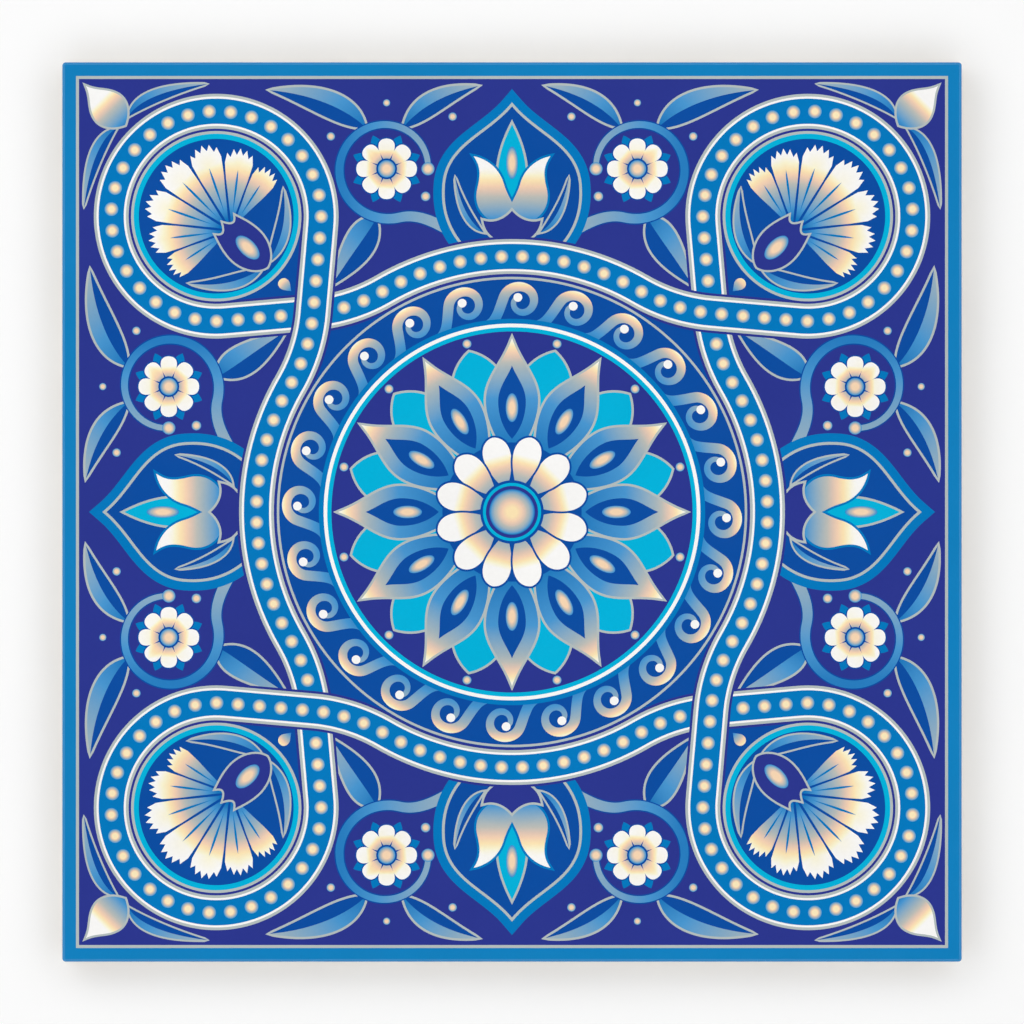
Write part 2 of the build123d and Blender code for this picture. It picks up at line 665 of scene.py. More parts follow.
calyx = both_sides(curve(
    (0.0, -12.0),
    ((1.8, -11.6), (3.4, -9.4), (3.3, -6.6)),
    ((3.2, -4.6), (2.6, -3.2), (2.3, -2.2)),
    ((1.6, -3.2), (0.8, -3.2), (0.0, -1.6)),
))
neck_drop = both_sides(curve(
    (0.0, -17.7),
    ((0.4, -17.0), (0.95, -16.6), (0.95, -16.0)),
    ((0.95, -15.4), (0.55, -15.0), (0.0, -15.0)),
))
fan_tone = fade_out((2.0, 6.5, 9.5, 11.8), (1.0, 0.56, 0.2, 0.0), FAN_FOOT)
carnation = discs(CARNATION_FIELD) + low_leaves
for number in range(FAN_PETALS):
    middle = (number - (FAN_PETALS - 1) / 2) * FAN_STEP
    carnation += [patch(fan_petal(middle), "shaded", fan_tone), patch(fan_vein(middle), "mid_blue")]
carnation += edged(calyx, THIN_LINE, "navy") + [bead(2.5, (0, -7.4), narrow=1.9)]
carnation += [patch(neck_drop, "shaded", fade_up((-17.7, -15.4), (0.95, 0.1)))]
patches += repeated(carnation, SIDES, shift=-0.5, out=LOOP_MIDDLE * math.sqrt(2))
print(f"{SIDES} carnations of {FAN_PETALS} petals")

# %% [markdown]
# ## Scrolls
# On each side of the tile two scrolls grow out of the ribbon and curl round a small flower, with leaves in
# the corners that they leave free. One scroll is drawn, and used once as it is and once mirrored. Its vine
# is a brush stroke along a spiral, like the waves.

# %% The vine and its leaves
SCROLL_CENTRE = (20.9, 57.2)
SCROLL_RADII = (8.4, 6.9)
SCROLL_ANGLES = (-105.0, 180.0)
SCROLL_POINTS = 80
VINE_SHARES = (0.0, 0.25, 1.0)
VINE_HALF_WIDTHS = (0.95, 0.8, 0.45)
VINE_LINE = 0.2

def fade_across(places, tones):
    """A tone that changes from left to right."""
    return lambda xy: np.interp(xy[:, 0], places, tones)

coil = spiral(SCROLL_CENTRE, SCROLL_RADII, SCROLL_ANGLES, SCROLL_POINTS)
lead = curve((8.0, 45.6), ((11.4, 47.4), (15.0, 50.0), coil[0]))
vine = stroke(end_to_end([lead, coil]), VINE_SHARES, VINE_HALF_WIDTHS)
vine_tone = fade_across((8.0, 16.0, 28.0), (0.5, 0.66, 0.95))
top_leaf = leaf((24.3, 64.0), ((25.2, 69.4), (31.6, 72.0)), ((28.6, 63.8), (33.2, 67.2)), (40.4, 70.3))
inner_leaf = leaf((18.2, 64.0), ((17.2, 69.4), (12.4, 71.6)), ((14.4, 64.6), (11.4, 67.6)), (5.6, 71.0))
notch_leaf = leaf((22.6, 49.0), ((26.6, 49.8), (28.4, 45.2)), ((20.8, 43.8), (25.4, 40.4)), (30.2, 37.6))
vine_motif = top_leaf + inner_leaf + notch_leaf
vine_motif += edged(vine, VINE_LINE, "shaded", vine_tone, edge="cobalt") + [bead(1.1, coil[-1])]
print(f"a vine with its leaves is {len(vine_motif)} patches")

# %% [markdown]
# The flower in the scroll has eight round petals with the tips of sepals between them. All the sepals come
# first, then a dark line for each petal, then the petals, so that every petal lies over every line. It is
# drawn round its own middle and then placed in the scroll.

# %% The scroll's flower
FLOWER_PETALS = 8
FLOWER_LINE = 0.2
FLOWER_EYE = ((1.75, "cobalt"),)
FLOWER_BEAD = 1.45
LOOSE_BEADS = ((0.8, (14.4, 52.6)), (0.7, (30.2, 62.6)), (0.7, (9.9, 65.9)), (0.6, (20.9, 68.2)))

sepal = both_sides(curve((0.4, 2.5), ((1.3, 3.4), (1.3, 4.8), (0.0, 6.0))))
flower_petal = both_sides(curve(
    (0.3, 1.3),
    ((0.9, 2.2), (1.42, 3.0), (1.36, 3.9)),
    ((1.3, 4.8), (0.6, 5.05), (0.0, 5.05)),
))
flower_tone = fade_out((1.2, 2.4, 3.6), (0.6, 0.25, 0.0))
flower = repeated([patch(sepal, "mid_blue")], FLOWER_PETALS, shift=0.5)
flower += repeated([patch(grown(flower_petal, FLOWER_LINE), "cobalt")], FLOWER_PETALS)
flower += repeated([patch(flower_petal, "shaded", flower_tone)], FLOWER_PETALS)
flower += discs(FLOWER_EYE) + [bead(FLOWER_BEAD)]
scroll_motif = vine_motif + placed(flower, SCROLL_CENTRE)
scroll_motif += [bead(radius, place) for radius, place in LOOSE_BEADS]
patches += repeated(scroll_motif, SIDES)
patches += repeated(scroll_motif, SIDES, flip=True)
print(f"{2 * SIDES} scrolls, each of {len(scroll_motif)} patches")

# %% [markdown]
# ## Tulips
# Between its two scrolls each side has a tulip in a pointed niche that grows out of the ribbon. The right
# half of each shape is drawn and mirrored. The tulip is laid over the scrolls, so the niche's edge covers
# the ends of the vines.

# %% The tulip in its niche
NICHE_BAND = 1.9
NICHE_LINE = 0.45

niche = both_sides(curve(
    (7.0, 43.5),
    ((10.2, 46.5), (11.4, 50.0), (11.2, 54.0)),
    ((11.0, 61.0), (4.2, 62.6), (0.0, 67.6)),
))
tulip = both_sides(curve(
    (0.0, 47.6),
    ((3.8, 47.8), (6.6, 50.2), (5.8, 53.8)),
    ((5.2, 56.2), (5.2, 57.6), (6.4, 59.3)),
    ((4.0, 58.8), (2.1, 57.2), (1.4, 54.8)),
    ((1.0, 53.4), (0.4, 52.4), (0.0, 51.6)),
))
middle_petal = both_sides(curve((0.0, 50.4), ((2.8, 53.0), (3.4, 58.0), (0.0, 64.6))))
cup = both_sides(curve(
    (0.0, 44.8),
    ((2.4, 45.0), (4.4, 46.0), (4.8, 48.6)),
    ((3.0, 48.0), (1.2, 48.8), (0.0, 50.2)),
))
tulip_leaf = leaf(
    (4.7, 46.6),
    ((7.4, 47.0), (9.4, 50.2)),
    ((6.2, 49.0), (8.0, 51.6)),
    (9.5, 56.0),
    FINE_LINE,
)
tulip_tone = fade_up((48.0, 51.0, 54.5, 57.0), (0.95, 0.55, 0.2, 0.0))
tulip_motif = [patch(grown(niche, NICHE_BAND), "mid_blue")] + edged(niche, NICHE_LINE, "cobalt")
tulip_motif += edged(middle_petal, LINE, "cyan") + [bead(2.7, (0, 58.2), narrow=2.8)]
tulip_motif += edged(tulip, LINE, "shaded", tulip_tone, edge="mid_blue")
tulip_motif += edged(cup, LINE, "navy") + pair(tulip_leaf)
patches += repeated(tulip_motif, SIDES)
print(f"{SIDES} tulips, each of {len(tulip_motif)} patches")

# %% [markdown]
# ## Corner sprigs
# The last bit of ground, outside each loop, holds a bud between two leaves that points into the corner. It
# is drawn on the vertical axis, as far out as the corner is, and turned by an eighth when it is placed.

# %% Corner sprigs
BUD_LINE = 0.35

bud = both_sides(curve(
    (0.0, 91.2),
    ((2.2, 92.2), (3.2, 94.0), (2.8, 95.6)),
    ((2.3, 97.6), (0.7, 98.4), (0.0, 100.4)),
))
side_leaf = leaf(
    (1.2, 91.8),
    ((4.6, 94.4), (9.4, 91.8)),
    ((4.2, 91.0), (9.2, 89.2)),
    (14.6, 86.3),
    FINE_LINE,
)
sprig_motif = pair(side_leaf) + edged(bud, BUD_LINE, "shaded", fade_up((91.2, 97.0), (0.95, 0.0)))
patches += repeated(sprig_motif, SIDES, shift=-0.5)
print(f"{SIDES} sprigs, each of {len(sprig_motif)} patches")

# %% [markdown]
# ## The ribbon and its pearls
# Now the ribbon is laid over everything: a dark edge, a silver and a white line, the blue of the ribbon and
# a row of pearls. Each quarter is two strands, mirror images across the diagonal. All the second strands
# are laid first and all the first ones over them, so the ribbon goes over and under by turns. The pearls
# are counted out from each crossing, so that none is left half covered by the strand above.

# %% Lay the ribbon
RIBBON_LAYERS = ((3.3, "navy"), (2.9, "silver"), (2.45, "white"), (2.1, "mid_blue"))
RIBBON_LAP = 0.6
PEARL = 1.15
PEARL_STEP = 3.5
PEARL_TONES = (0.0, 0.12, 0.4, 0.85)

def ribbon_band(half_width, lap=0.0):
    return np.vstack([ribbon_line(-half_width, lap=lap), ribbon_line(half_width, lap=lap)[::-1]])

def pearls_along(course):
    """Points a pearl's step apart along a line, with half a step left at each end."""
    run = np.concatenate([[0], np.cumsum(np.linalg.norm(np.diff(course, axis=0), axis=1))])
    count = round(run[-1] / PEARL_STEP)
    places = (np.arange(count) + 0.5) * run[-1] / count
    return np.column_stack([np.interp(places, run, course[:, 0]), np.interp(places, run, course[:, 1])])

pearl_points = np.vstack([pearls_along(to_crossing), pearls_along(half_loop)])
first_strand = [patch(ribbon_band(width, RIBBON_LAP), glaze) for width, glaze in RIBBON_LAYERS]
first_strand += [bead(PEARL, point, PEARL_TONES) for point in pearl_points]
second_strand = [patch(across_diagonal(ribbon_band(width)), glaze) for width, glaze in RIBBON_LAYERS]
second_strand += [bead(PEARL, point, PEARL_TONES) for point in across_diagonal(pearl_points)]
patches += repeated(second_strand, SIDES)
patches += repeated(first_strand, SIDES)
print(f"{2 * SIDES * len(pearl_points)} pearls on the ribbon, {len(patches)} patches in all")

# %% [markdown]
# ## Cutting the face along the outlines
# An image would blur close up, so the face is cut along the outlines instead. First the lines that a later
# layer covers are left out, because they would cut up the patch above them for nothing. That needs a test
# for points inside an outline: a point is inside if the outline winds round it.

# %% Test for points inside an outline
POINTS_AT_ONCE = 4000

def wound_round(outline, xy):
    """Which of some points an outline winds round."""
    near = ((xy >= outline.min(0)) & (xy <= outline.max(0))).all(1)
    x0, y0 = outline.T
    x1, y1 = np.roll(outline, -1, 0).T
    for some in np.array_split(np.flatnonzero(near), 1 + near.sum() // POINTS_AT_ONCE):
        x = xy[some, :1]
        y = xy[some, 1:]
        left_of = (x1 - x0) * (y - y0) - (x - x0) * (y1 - y0)
        up = (y0 <= y) & (y1 > y) & (left_of > 0)
        down = (y0 > y) & (y1 <= y) & (left_of < 0)
        near[some] = up.sum(1) != down.sum(1)
    return near

on_ground = wound_round(square(FIELD), np.array([(0.0, 0.0), (HALF, HALF)]))
print(f"on the navy ground: the middle {on_ground[0]}, the corner of the tile {on_ground[1]}")

# %% [markdown]
# Long edges are divided first, so that an edge can be covered in part. The edges of the lowest grounds stay
# whole, because the sides of the tile have to meet them point by point. An edge is covered if its middle
# and both its ends lie inside one outline of a later layer.

# %% Leave out the covered lines
LONGEST_EDGE = 1.0

def with_short_edges(line):
    pieces = [line[:1]]
    for start, end in zip(line[:-1], line[1:]):
        count = math.ceil(math.dist(start, end) / LONGEST_EDGE)
        pieces.append(start + (end - start) * np.arange(1, count + 1)[:, None] / max(count, 1))
    return np.vstack(pieces)

lines = []
for number, piece in enumerate(patches):
    line = closed(piece["outline"])
    lines.append((number, line if number < whole_grounds else with_short_edges(line)))
for number, piece in enumerate(patches):
    lines += [(number, line) for line in piece["inner"]]
layers = np.concatenate([np.full(len(line) - 1, number) for number, line in lines])
starts = np.vstack([line[:-1] for number, line in lines])
ends = np.vstack([line[1:] for number, line in lines])
covered = np.zeros(len(layers), bool)
for number, piece in enumerate(patches):
    under = np.flatnonzero((layers < number) & ~covered)
    for share in (0.5, 0.0, 1.0):
        under = under[wound_round(piece["outline"], starts[under] + share * (ends[under] - starts[under]))]
    covered[under] = True
print(f"{covered.sum()} of {len(covered)} edges are covered")

# %% [markdown]
# A constrained triangulation takes all the edges that are left at once, finds where they cross and fills
# the plane between them with triangles. Blender's knife and boolean tools could cut one outline after the
# other, but they would be slow and could fail where many lines meet. The first edges of all are the rim of
# the face, which nothing covers, so the points of the rim are found again by their numbers.

# %% Cut the face
SAME_POINT_DIGITS = 6
CUT_TOLERANCE = 1e-4
ALL_TRIANGLES = 0

def triangulated(corners, edges, loops):
    """Fill the plane between some corners with triangles, cut along edges and loops of them. Gives the
    points, the triangles, the corners that each point was made from and the loops round each triangle."""
    points, _, triangles, made_from, _, inside = delaunay_2d_cdt(
        [Vector(corner) for corner in corners], edges, loops, ALL_TRIANGLES, CUT_TOLERANCE, True)
    return points, triangles, made_from, inside

both_ends = np.vstack([starts[~covered], ends[~covered]])
corners, corner_of = np.unique(np.round(both_ends, SAME_POINT_DIGITS), axis=0, return_inverse=True)
corner_of = corner_of.ravel()
cut_points, cut_triangles, made_from, _ = triangulated(corners, corner_of.reshape(2, -1).T.tolist(), [])
face_points = np.array([(point.x, point.y) for point in cut_points])
face_triangles = np.array(cut_triangles)
point_at = {corner: point for point, made in enumerate(made_from) for corner in made}
rim_length = len(patches[0]["outline"])
face_rim = [point_at[corner] for corner in corner_of[:rim_length]]
print(f"{len(face_points)} points and {len(face_triangles)} triangles in the face")

# %% [markdown]
# Which patch a triangle belongs to is asked from the top layer down: the first outline that winds round its
# middle gives its glaze. The tone is then worked out at each of its corners, so it fades smoothly within a
# patch and still stops sharply at its edge.

# %% Find each triangle's patch
triangle_middles = face_points[face_triangles].mean(axis=1)
topmost = np.full(len(face_triangles), -1)
for number in reversed(range(len(patches))):
    left = np.flatnonzero(topmost < 0)
    topmost[left[wound_round(patches[number]["outline"], triangle_middles[left])]] = number
on_face = topmost >= 0
face_triangles = face_triangles[on_face]
topmost = topmost[on_face]

face_tone = np.zeros(face_triangles.size)
for number, piece in enumerate(patches):
    mine = np.repeat(topmost == number, 3)
    if piece["tone"] and mine.any():
        face_tone[mine] = np.clip(piece["tone"](face_points[face_triangles.ravel()[mine]]), 0, 1)
print(f"{len(np.unique(topmost))} of {len(patches)} patches show")

# %% [markdown]
# ## The pressed body
# The sides and the rounded edge come from the press. They are rounded squares at rising heights, joined
# ring by ring up to the rim of the face. A bevel modifier could round a plain box, but its points wouldn't
# meet the ones on the rim.

# %% The sides
BACK_CHAMFER = 0.6
BACK_CORNER = 0.05
EDGE_DEPTH = 2.2
ARRIS_STEPS = 6

points = [(x, y, THICKNESS) for x, y in face_points]
faces = [tuple(triangle) for triangle in face_triangles]

def add_ring(outline, z):
    """Add the points of an outline at one height and return their numbers."""
    start = len(points)
    points.extend((x, y, z) for x, y in outline)
    return list(range(start, len(points)))

def join(lower, upper):
    """Quads between two rings of as many points. They face away from the middle, or towards it when the
    ring that is given first lies above the other."""
    for i in range(len(lower)):
        j = (i + 1) % len(lower)
        faces.append((lower[i], lower[j], upper[j], upper[i]))

side_rings = [
    add_ring(rounded_square(HALF - BACK_CHAMFER, BACK_CORNER), 0.0),
    add_ring(rounded_square(HALF, CORNER), BACK_CHAMFER),
    add_ring(rounded_square(HALF, CORNER), THICKNESS - EDGE_DEPTH),
]
for step in range(ARRIS_STEPS):
    angle = math.radians(90 * step / ARRIS_STEPS)
    inset = ARRIS * (1 - math.cos(angle))
    drop = ARRIS * (1 - math.sin(angle))
    side_rings.append(add_ring(rounded_square(HALF - inset, CORNER - inset), THICKNESS - drop))
side_rings.append(face_rim)
first_side_face = len(faces)
for lower, upper in zip(side_rings[:-1], side_rings[1:]):
    join(lower, upper)
first_back_face = len(faces)
print(f"{first_back_face - first_side_face} faces round the sides")

# %% [markdown]
# ## The keyed back
# The back has rows of shallow recesses that the bedding mortar keys into. Their edges are slightly rounded
# and their walls slope, so that the pressed tile leaves its die. Booleans could cut them out of a block,
# but a stack of rings with a closed floor gives even faces. The heights and insets along the wall are the
# same for all the recesses.

# %% The recesses
RECESS_ROWS = 6
RECESS_RIM = 6.0
RECESS_RIB = 3.0
RECESS_CORNER = 1.2
SMALLEST_CORNER = 0.3
RECESS_WALL = (
    (0.0, -0.12),
    (0.04, -0.03),
    (0.12, 0.0),
    (0.5, 0.1),
    (0.62, 0.16),
    (0.68, 0.28),
    (0.7, 0.45),
)

recess = (TILE - 2 * RECESS_RIM - (RECESS_ROWS - 1) * RECESS_RIB) / RECESS_ROWS
row_places = [(row - (RECESS_ROWS - 1) / 2) * (recess + RECESS_RIB) for row in range(RECESS_ROWS)]
mouths = []
for x in row_places:
    for y in row_places:
        levels = []
        for z, inset in RECESS_WALL:
            corner = max(RECESS_CORNER - inset, SMALLEST_CORNER)
            levels.append(add_ring(rounded_square(recess / 2 - inset, corner) + (x, y), z))
        mouths.append(levels[0])
        for lower, upper in zip(levels[:-1], levels[1:]):
            join(upper, lower)
        faces.append(tuple(levels[-1][::-1]))
print(f"{len(mouths)} recesses, {recess:.2f} mm square")

# %% [markdown]
# The plane of the ribs is what is left between the outer ring and the mouths of the recesses. The same
# triangulation fills it. This time it gets whole loops, and it says for each triangle which loops that is
# inside: a triangle of a rib is inside the outer loop alone.

# %% Close the back
OUTER_LOOP = 0

back_loops = []
back_ids = []
for ring in [side_rings[0]] + mouths:
    back_loops.append(list(range(len(back_ids), len(back_ids) + len(ring))))
    back_ids.extend(ring)
back_corners = [points[number][:2] for number in back_ids]
_, back_triangles, made_from, inside = triangulated(back_corners, [], back_loops)
back_points = [back_ids[made[0]] for made in made_from]
for triangle, loops in zip(back_triangles, inside):
    if list(loops) == [OUTER_LOOP]:
        faces.append(tuple(back_points[corner] for corner in reversed(triangle)))
print(f"{len(faces) - len(face_triangles)} faces in the body")

# %% [markdown]
# ## Glaze colours
# Each flat colour of the print is a glaze of its own. The shaded patches share one glaze, whose ramp goes
# from white through cream, peach, silver and sky to blue. Colours are written as they look on a screen, and
# a shader works with amounts of light, so a helper converts them.

# %% The colours
GLAZES = {
    "border_blue": (16, 130, 193),
    "navy": (44, 55, 144),
    "cobalt": (9, 78, 163),
    "cyan": (0, 180, 221),
    "mid_blue": (0, 122, 192),
    "white": (253, 252, 250),
    "silver": (182, 192, 192),
}
SHADES = (
    (0.00, (253, 252, 250)),
    (0.07, (254, 247, 212)),
    (0.14, (255, 231, 182)),
    (0.22, (247, 212, 181)),
    (0.30, (226, 200, 182)),
    (0.40, (190, 191, 185)),
    (0.52, (162, 181, 191)),
    (0.66, (128, 169, 200)),
    (0.82, (74, 152, 210)),
    (1.00, (8, 115, 187)),
)

def linear(rgb):
    """A written colour, 0 to 255, as the light values that a shader works with."""
    shares = [value / 255 for value in rgb]
    return [s / 12.92 if s <= 0.04045 else ((s + 0.055) / 1.055) ** 2.4 for s in shares] + [1.0]

print(f"{len(GLAZES)} flat colours and a ramp of {len(SHADES)}")

# %% [markdown]
# ## Glaze finish
# Fired glaze is never quite even: its colour drifts a little, fine dots of the print show close up, the
# gloss varies and the surface has faint ripples. A painted picture could hold all that, but noise at
# different scales stays sharp at any distance. It is read in the tile's own coordinates, so it stays in
# place from every side. A few helpers make the nodes.

# %% Finish helpers
NOISE_SPAN = (0.3, 0.7)

def blank_material(name):
    """A new material with its node tree, its shader and the tile's own coordinates."""
    material = bpy.data.materials.new(name)
    material.use_nodes = True
    tree = material.node_tree
    return material, tree, tree.nodes["Principled BSDF"], node(tree, "ShaderNodeTexCoord")

def noise(tree, place, scale, detail=2.0):
    made = node(tree, "ShaderNodeTexNoise")
    made.inputs["Scale"].default_value = scale
    made.inputs["Detail"].default_value = detail
    tree.links.new(place.outputs["Object"], made.inputs["Vector"])
    return made.outputs["Fac"]

def ranged(tree, source, span, to=(0.0, 1.0)):
    """Turn the values between two ends into values between two others."""
    made = node(tree, "ShaderNodeMapRange")
    for name, value in zip(("From Min", "From Max", "To Min", "To Max"), (*span, *to)):
        made.inputs[name].default_value = value
    tree.links.new(source, made.inputs["Value"])
    return made.outputs["Result"]

def combined(tree, operation, first, second):
    made = node(tree, "ShaderNodeMath", operation=operation)
    tree.links.new(first, made.inputs[0])
    tree.links.new(second, made.inputs[1])
    return made.outputs[0]

def ruffle(tree, shader, height, strength, depth):
    """Let a height move the shading of a surface, where a height of 1 is a depth in metres."""
    bump = node(tree, "ShaderNodeBump")
    bump.inputs["Strength"].default_value = strength
    bump.inputs["Distance"].default_value = depth
    tree.links.new(height, bump.inputs["Height"])
    tree.links.new(bump.outputs["Normal"], shader.inputs["Normal"])

print("helpers for finishes")

# %% [markdown]
# One function makes all the glazes. A noise's scale is about its number of waves in a metre, so 70 is a
# drift over 14 mm and 1600 are dots of about half a millimetre. The shaded glaze reads the tone that was
# worked out at the corners and looks its colour up on the ramp.

# %% Make the glazes
DRIFT_SCALE = 70.0
DRIFT = (0.975, 1.02)
DOT_SCALE = 1600.0
DOT_DETAIL = 1.0
DOTS = (0.988, 1.008)
GLOSS_SCALE = 240.0
GLAZE_ROUGHNESS = (0.13, 0.2)
GLAZE_SPECULAR = 0.4
RIPPLE_SCALE = 420.0
RIPPLE_DETAIL = 3.0
RIPPLE_STRENGTH = 0.12
RIPPLE_DEPTH = 0.2 * MM

def fired_glaze(name, rgb=None):
    """A glaze of one colour, or the shaded one."""
    material, tree, shader, place = blank_material(name)
    drift = ranged(tree, noise(tree, place, DRIFT_SCALE), NOISE_SPAN, DRIFT)
    dots = ranged(tree, noise(tree, place, DOT_SCALE, DOT_DETAIL), NOISE_SPAN, DOTS)
    tint = node(tree, "ShaderNodeHueSaturation")
    tree.links.new(combined(tree, "MULTIPLY", drift, dots), tint.inputs["Value"])
    if rgb is None:
        tone = node(tree, "ShaderNodeAttribute", attribute_name="tone")
        ramp = node(tree, "ShaderNodeValToRGB")
        set_stops(ramp, [(position, linear(shade)) for position, shade in SHADES])
        tree.links.new(tone.outputs["Fac"], ramp.inputs["Fac"])
        tree.links.new(ramp.outputs["Color"], tint.inputs["Color"])
    else:
        tint.inputs["Color"].default_value = linear(rgb)
    tree.links.new(tint.outputs["Color"], shader.inputs["Base Color"])
    gloss = ranged(tree, noise(tree, place, GLOSS_SCALE), NOISE_SPAN, GLAZE_ROUGHNESS)
    tree.links.new(gloss, shader.inputs["Roughness"])
    shader.inputs["Specular IOR Level"].default_value = GLAZE_SPECULAR
    ruffle(tree, shader, noise(tree, place, RIPPLE_SCALE, RIPPLE_DETAIL), RIPPLE_STRENGTH, RIPPLE_DEPTH)
    return material

glazes = {name: fired_glaze(f"{name}_glaze", rgb) for name, rgb in GLAZES.items()}
glazes["shaded"] = fired_glaze("shaded_glaze")
print(f"{len(glazes)} glazes")

# %% [markdown]
# ## The unglazed clay
# The back and most of the sides are bare fired clay: pale and matt, with a fine grain, clouds of a darker
# tone and small brown specks. The grain could have a colour of its own all over, but on the real clay it is
# strongest in the clouds, so the two are multiplied. The product also gives the clay its rough surface.

# %% The bare clay
CLAY_PALE = (226, 220, 208)
CLAY_DARK = (196, 187, 172)
CLAY_SPECK = (176, 158, 134)
CLAY_ROUGHNESS = (0.78, 0.9)
GRAIN_SCALE = 4200.0
GRAIN_DETAIL = 4.0
GRAIN_SPAN = (0.32, 0.68)
CLOUD_SCALE = 55.0
CLOUD_DETAIL = 3.0
SPECK_SCALE = 2300.0
SPECK_DETAIL = 0.0
SPECK_SPAN = (0.755, 0.795)

def mixed(tree, factor, first, second, kind="RGBA"):
    """Mix two colours or values, each of them written or the output of a node."""
    made = node(tree, "ShaderNodeMix", data_type=kind)
    tree.links.new(factor, made.inputs["Factor"])
    for name, value in (("A", first), ("B", second)):
        socket = next(s for s in made.inputs if s.name == name and s.enabled)
        if isinstance(value, bpy.types.NodeSocket):
            tree.links.new(value, socket)
        else:
            socket.default_value = value
    return next(s for s in made.outputs if s.enabled)

def bare_clay(tree, place):
    """The colour, roughness and height of bare clay."""
    grain = ranged(tree, noise(tree, place, GRAIN_SCALE, GRAIN_DETAIL), GRAIN_SPAN)
    clouds = ranged(tree, noise(tree, place, CLOUD_SCALE, CLOUD_DETAIL), NOISE_SPAN)
    specks = ranged(tree, noise(tree, place, SPECK_SCALE, SPECK_DETAIL), SPECK_SPAN)
    clouded_grain = combined(tree, "MULTIPLY", grain, clouds)
    colour = mixed(tree, clouded_grain, linear(CLAY_PALE), linear(CLAY_DARK))
    colour = mixed(tree, specks, colour, linear(CLAY_SPECK))
    rough = ranged(tree, grain, (0.0, 1.0), CLAY_ROUGHNESS)
    return colour, rough, clouded_grain

print("bare clay ready")

# %% [markdown]
# On the sides the border glaze runs down a little over the edge and stops in an uneven line with a small
# lip, where it is thin and paler. It could be a thin mesh of its own over the clay, but one material can
# hold both and pick between them by height, moved up and down by noise.

# %% The clay with glaze over its edge
THIN_GLAZE = (104, 168, 205)
GLAZE_RUN = 1.5 * MM
GLAZE_WANDER = 0.3 * MM
GLAZE_LIP = 0.12 * MM
THIN_EDGE = 0.45 * MM
WANDER_SCALE = 160.0
RUN_ROUGHNESS = 0.16
RUN_HEIGHT = 1.6
CLAY_BUMP = 0.6
CLAY_DEPTH = 0.07 * MM

def glazed_above(tree, place, colour, rough, height, glaze_rgb):
    """The same finish, with a glaze over it above an uneven line."""
    height_of = node(tree, "ShaderNodeSeparateXYZ")
    tree.links.new(place.outputs["Object"], height_of.inputs[0])
    wander = ranged(tree, noise(tree, place, WANDER_SCALE), NOISE_SPAN, (-GLAZE_WANDER, GLAZE_WANDER))
    level = combined(tree, "ADD", height_of.outputs["Z"], wander)
    line = THICKNESS * MM - GLAZE_RUN
    glazed = ranged(tree, level, (line, line + GLAZE_LIP))
    deep = ranged(tree, level, (line, line + THIN_EDGE))
    glaze = mixed(tree, deep, linear(THIN_GLAZE), linear(glaze_rgb))
    colour = mixed(tree, glazed, colour, glaze)
    rough = mixed(tree, glazed, rough, RUN_ROUGHNESS, "FLOAT")
    height = mixed(tree, glazed, height, RUN_HEIGHT, "FLOAT")
    return colour, rough, height

def fired_clay(name, glaze_rgb=None):
    """Bare fired clay, or clay with a glaze that runs down over its upper edge."""
    material, tree, shader, place = blank_material(name)
    finish = bare_clay(tree, place)
    if glaze_rgb:
        finish = glazed_above(tree, place, *finish, glaze_rgb)
    colour, rough, height = finish
    tree.links.new(colour, shader.inputs["Base Color"])
    tree.links.new(rough, shader.inputs["Roughness"])
    ruffle(tree, shader, height, CLAY_BUMP, CLAY_DEPTH)
    return material

clay = fired_clay("bare_clay")
edge_clay = fired_clay("glazed_edge", GLAZES["border_blue"])
print(f"{clay.name} for the back, {edge_clay.name} for the sides")

# %% [markdown]
# ## Putting the tile together
# The face, the sides and the back become one mesh with a material for each glaze. The print could be a
# sheet of its own on a plain body, but then the two would lie in one plane and flicker. The face is shaded
# flat, so that its long thin triangles stay a perfect plane, and the rounded edge is shaded smooth. The
# tones go into an attribute with a value for each corner of each face.

# %% Assemble the tile
SHARP_ANGLE = 32.0

names = list(glazes)
edge_slot = len(names)
clay_slot = edge_slot + 1
mesh = bpy.data.meshes.new("step_marker")
mesh.from_pydata([(x * MM, y * MM, z * MM) for x, y, z in points], [], faces)
for material in (*glazes.values(), edge_clay, clay):
    mesh.materials.append(material)
slots = np.full(len(faces), clay_slot, np.int32)
slots[: len(face_triangles)] = [names.index(patches[number]["glaze"]) for number in topmost]
slots[first_side_face:first_back_face] = edge_slot
mesh.polygons.foreach_set("material_index", slots)
mesh.polygons.foreach_set("use_smooth", np.arange(len(faces)) >= first_side_face)
corner_tones = np.zeros(len(mesh.loops), np.float32)
corner_tones[: len(face_tone)] = face_tone
mesh.attributes.new("tone", "FLOAT", "CORNER").data.foreach_set("value", corner_tones)
mesh.set_sharp_from_angle(angle=math.radians(SHARP_ANGLE))
tile = bpy.data.objects.new("step_marker", mesh)
scene.collection.objects.link(tile)
print(f"{len(mesh.vertices)} points, {len(mesh.polygons)} faces, {len(mesh.materials)} materials")

# %% [markdown]
# ## A map of the finish
# Other programs take the finish as a square picture, and a UV map says which part of the picture lies on
# which face. Blender can unwrap a mesh by itself, but it would give the plain back as much room as the
# print. Here the printed face takes most of the square, the sides are strips beside it, and the back goes
# into the corner that is left. First each corner of each face is told where it is and which way its face
# looks.

# %% Sort the faces for the map
FACES_UP = 0.5

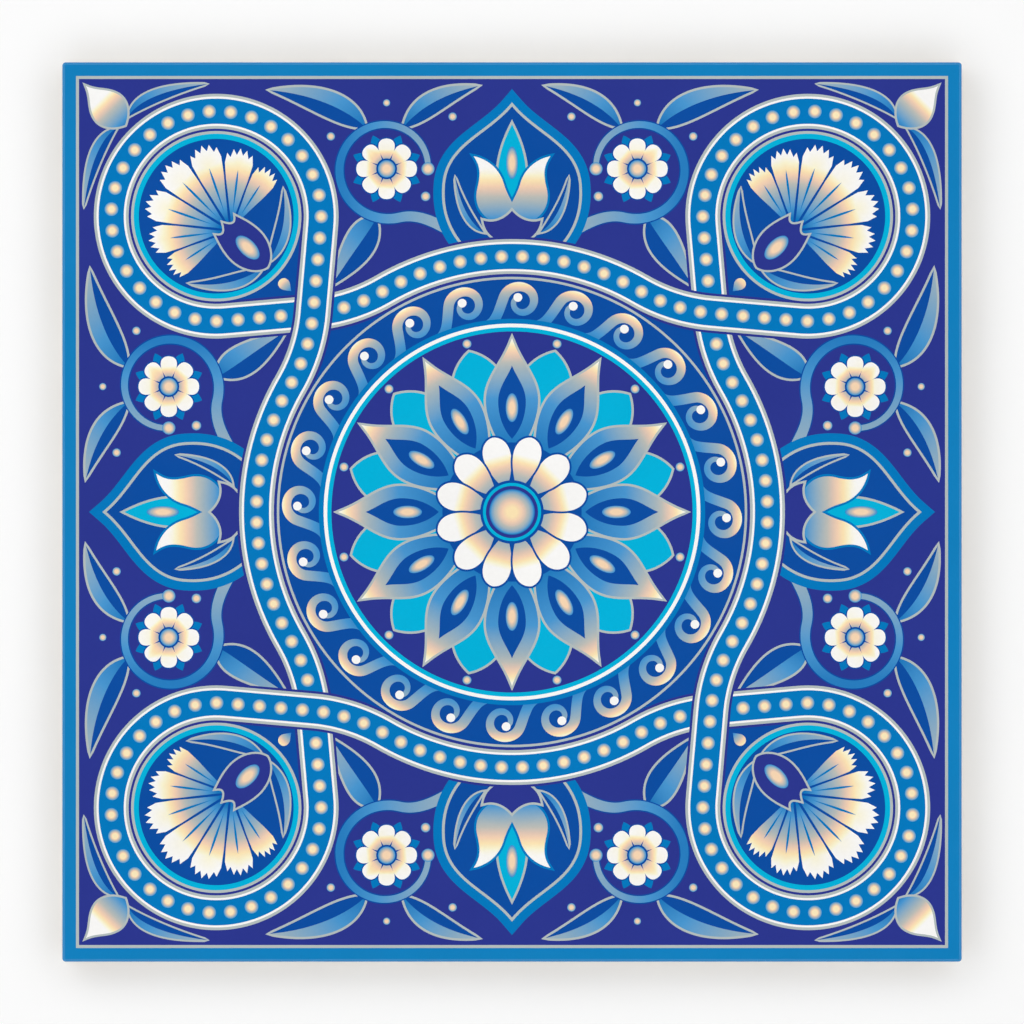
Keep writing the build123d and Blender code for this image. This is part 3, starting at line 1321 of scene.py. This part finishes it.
corner_points = np.zeros(len(mesh.loops), np.int32)
mesh.loops.foreach_get("vertex_index", corner_points)
x, y, z = np.array(points)[corner_points].T
face_of_corner = np.repeat(np.arange(len(faces)), [len(face) for face in faces])
normals = np.zeros(3 * len(faces))
mesh.polygons.foreach_get("normal", normals)
facing_x, facing_y, facing_z = normals.reshape(-1, 3)[face_of_corner].T
is_back = face_of_corner >= first_back_face
is_side = (face_of_corner >= first_side_face) & ~is_back & (facing_z < FACES_UP)
is_end = is_side & (abs(facing_x) > abs(facing_y))
is_long = is_side & ~is_end
print(f"{is_side.sum()} corners on the sides, {is_back.sum()} on the back")

# %% [markdown]
# The two ends of the tile become upright strips right of the face, and the two other sides lie above it.
# The top of the rounded edge stays with the face. The back is mirrored, because it is seen from the other
# side.

# %% Map the tile
FACE_SHARE = 0.83
MAP_GAP = 0.01

side_share = FACE_SHARE * THICKNESS / TILE
strip_start = FACE_SHARE + 2 * MAP_GAP
back_share = 1 - MAP_GAP - strip_start
first_strip = strip_start + side_share * z / THICKNESS
second_strip = first_strip + side_share + MAP_GAP
u = MAP_GAP + FACE_SHARE * (x + HALF) / TILE
v = MAP_GAP + FACE_SHARE * (y + HALF) / TILE
u[is_end] = np.where(facing_x > 0, first_strip, second_strip)[is_end]
v[is_long] = np.where(facing_y > 0, first_strip, second_strip)[is_long]
u[is_back] = strip_start + back_share * (HALF - x[is_back]) / TILE
v[is_back] = strip_start + back_share * (HALF + y[is_back]) / TILE
finish_map = mesh.uv_layers.new(name="OFBake")
finish_map.data.foreach_set("uv", np.column_stack([u, v]).ravel())
print(f"map from {u.min():.3f}, {v.min():.3f} to {u.max():.3f}, {v.max():.3f}")

# %% [markdown]
# ## Is it a clean solid?
# A mesh that goes to a printer or another program has to be closed: each edge has two faces, and both face
# outwards. Blender can count that, and it can give the volume, which should be that of the pressed tile.

# %% Measure the mesh
NO_AREA = 1e-14

check = bmesh.new()
check.from_mesh(mesh)
open_edges = sum(1 for edge in check.edges if not edge.is_contiguous)
areas = np.array([face.calc_area() for face in check.faces])
print(f"{open_edges} open edges, {(areas < NO_AREA).sum()} faces with no area")
print(f"volume {check.calc_volume() / MM ** 3:.0f} mm3, area {areas.sum() / MM ** 2:.0f} mm2")
check.free()

# %% [markdown]
# ## Floor
# The tile lies on a plain pale floor that is wide enough for any view. It doesn't shine, so that it keeps a
# soft shadow and nothing else.

# %% The floor
FLOOR_REACH = 6.0
FLOOR_COLOUR = (0.98, 0.98, 0.98, 1.0)
FLOOR_ROUGHNESS = 0.9

floor_mesh = bpy.data.meshes.new("floor")
floor_mesh.from_pydata([(x, y, 0.0) for x, y in square(FLOOR_REACH)], [], [(0, 1, 2, 3)])
floor = bpy.data.objects.new("floor", floor_mesh)
floor_material = bpy.data.materials.new("pale_floor")
floor_material.use_nodes = True
floor_shader = floor_material.node_tree.nodes["Principled BSDF"]
floor_shader.inputs["Base Color"].default_value = FLOOR_COLOUR
floor_shader.inputs["Roughness"].default_value = FLOOR_ROUGHNESS
floor_shader.inputs["Specular IOR Level"].default_value = 0.0
floor_mesh.materials.append(floor_material)
scene.collection.objects.link(floor)
print(f"floor {2 * FLOOR_REACH:.0f} m wide")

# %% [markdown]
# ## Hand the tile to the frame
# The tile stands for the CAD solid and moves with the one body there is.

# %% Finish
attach(tile, "root")
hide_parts("step_marker_tile")
